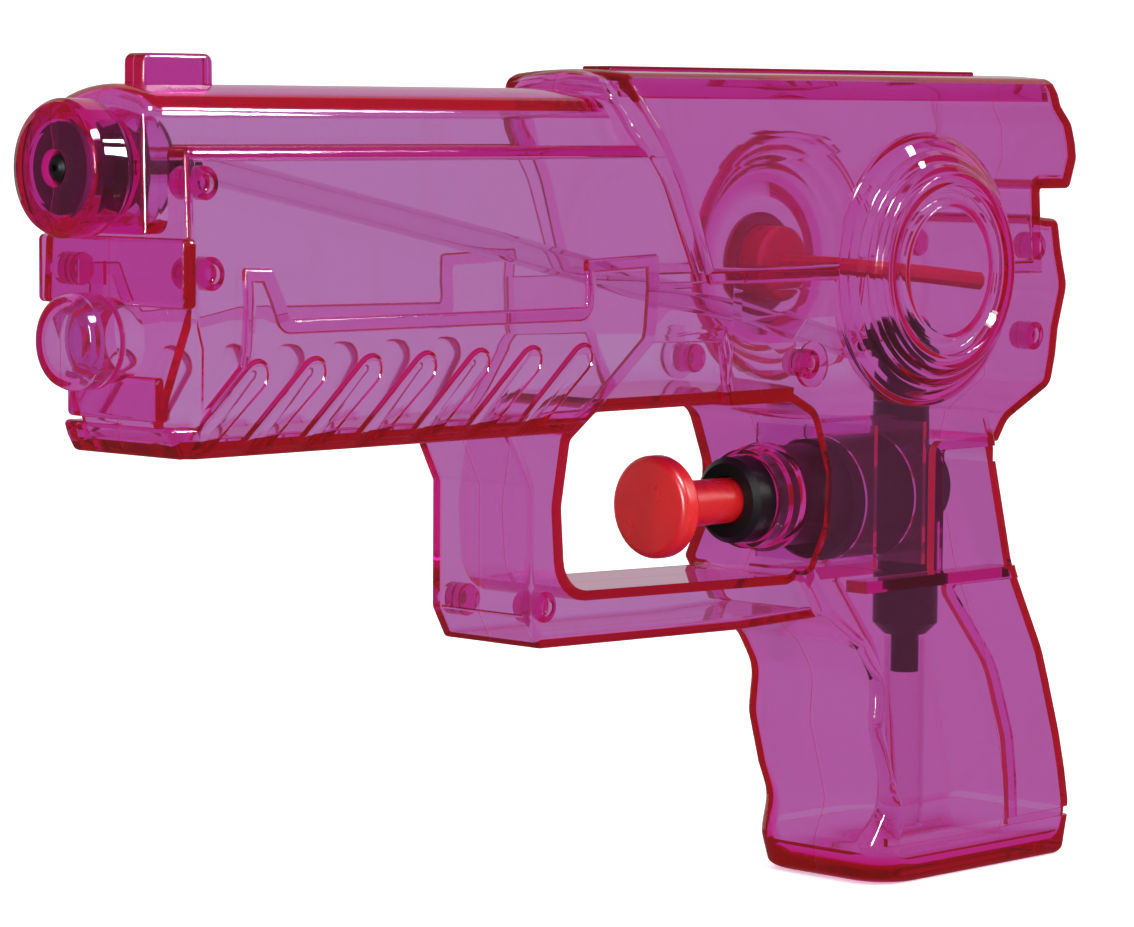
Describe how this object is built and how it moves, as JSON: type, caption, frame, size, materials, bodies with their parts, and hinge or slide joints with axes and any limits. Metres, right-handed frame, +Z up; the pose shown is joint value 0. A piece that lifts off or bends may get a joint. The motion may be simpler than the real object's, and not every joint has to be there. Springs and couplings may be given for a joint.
{
  "type": "water squirter",
  "caption": "Clear magenta toy water pistol: moulded half shells round a push-button trigger pump, with hose, nozzle and a filler plug.",
  "frame": {"origin": "on the ground plane under the middle of the gun's bounding box, on the seam plane", "axes": "+X towards the muzzle, +Y to the gun's left, +Z up along the grip"},
  "size_m": [0.1969, 0.042, 0.1255],
  "materials": {
    "magenta_plastic": "clear, polished",
    "red_plastic": "satin",
    "red_rubber": "soft",
    "black_plastic": "satin",
    "rubber": "matte",
    "steel": "bright",
    "clear_vinyl": "clear"
  },
  "bodies": {
    "body": {"left_shell": "magenta_plastic", "right_shell": "magenta_plastic", "nozzle": "black_plastic", "nozzle_seal": "rubber", "outlet_hose": "clear_vinyl", "outlet_elbow": "black_plastic", "outlet_seal": "rubber", "outlet_spring": "steel", "pump_cylinder": "black_plastic", "pump_gland": "black_plastic", "gland_seal": "rubber", "return_spring": "steel", "inlet_housing": "black_plastic", "inlet_seal": "rubber", "suction_tube": "clear_vinyl"},
    "trigger": {"trigger_plunger": "red_plastic", "piston_seal": "rubber"},
    "inlet_valve": {"inlet_ball": "steel"},
    "outlet_valve": {"outlet_ball": "steel"},
    "plug": {"filler_plug": "red_rubber"}
  },
  "joints": [
    {"name": "trigger_slide", "type": "slide", "parent": "body", "child": "trigger", "axis": [-1, 0, 0], "range_m": [0, 0.011], "stiffness_N_per_m": 400, "springref_m": -0.004, "deforming": ["return_spring"]},
    {"name": "inlet_ball_lift", "type": "slide", "parent": "body", "child": "inlet_valve", "axis": [0, 0, 1], "range_m": [0, 0.0012]},
    {"name": "outlet_ball_lift", "type": "slide", "parent": "body", "child": "outlet_valve", "axis": [0, 0, 1], "range_m": [0, 0.0012], "stiffness_N_per_m": 30, "springref_m": -0.001, "deforming": ["outlet_spring"]},
    {"name": "plug_pull", "type": "slide", "parent": "body", "child": "plug", "axis": [0, -1, 0], "range_m": [0, 0.007]}
  ]
}
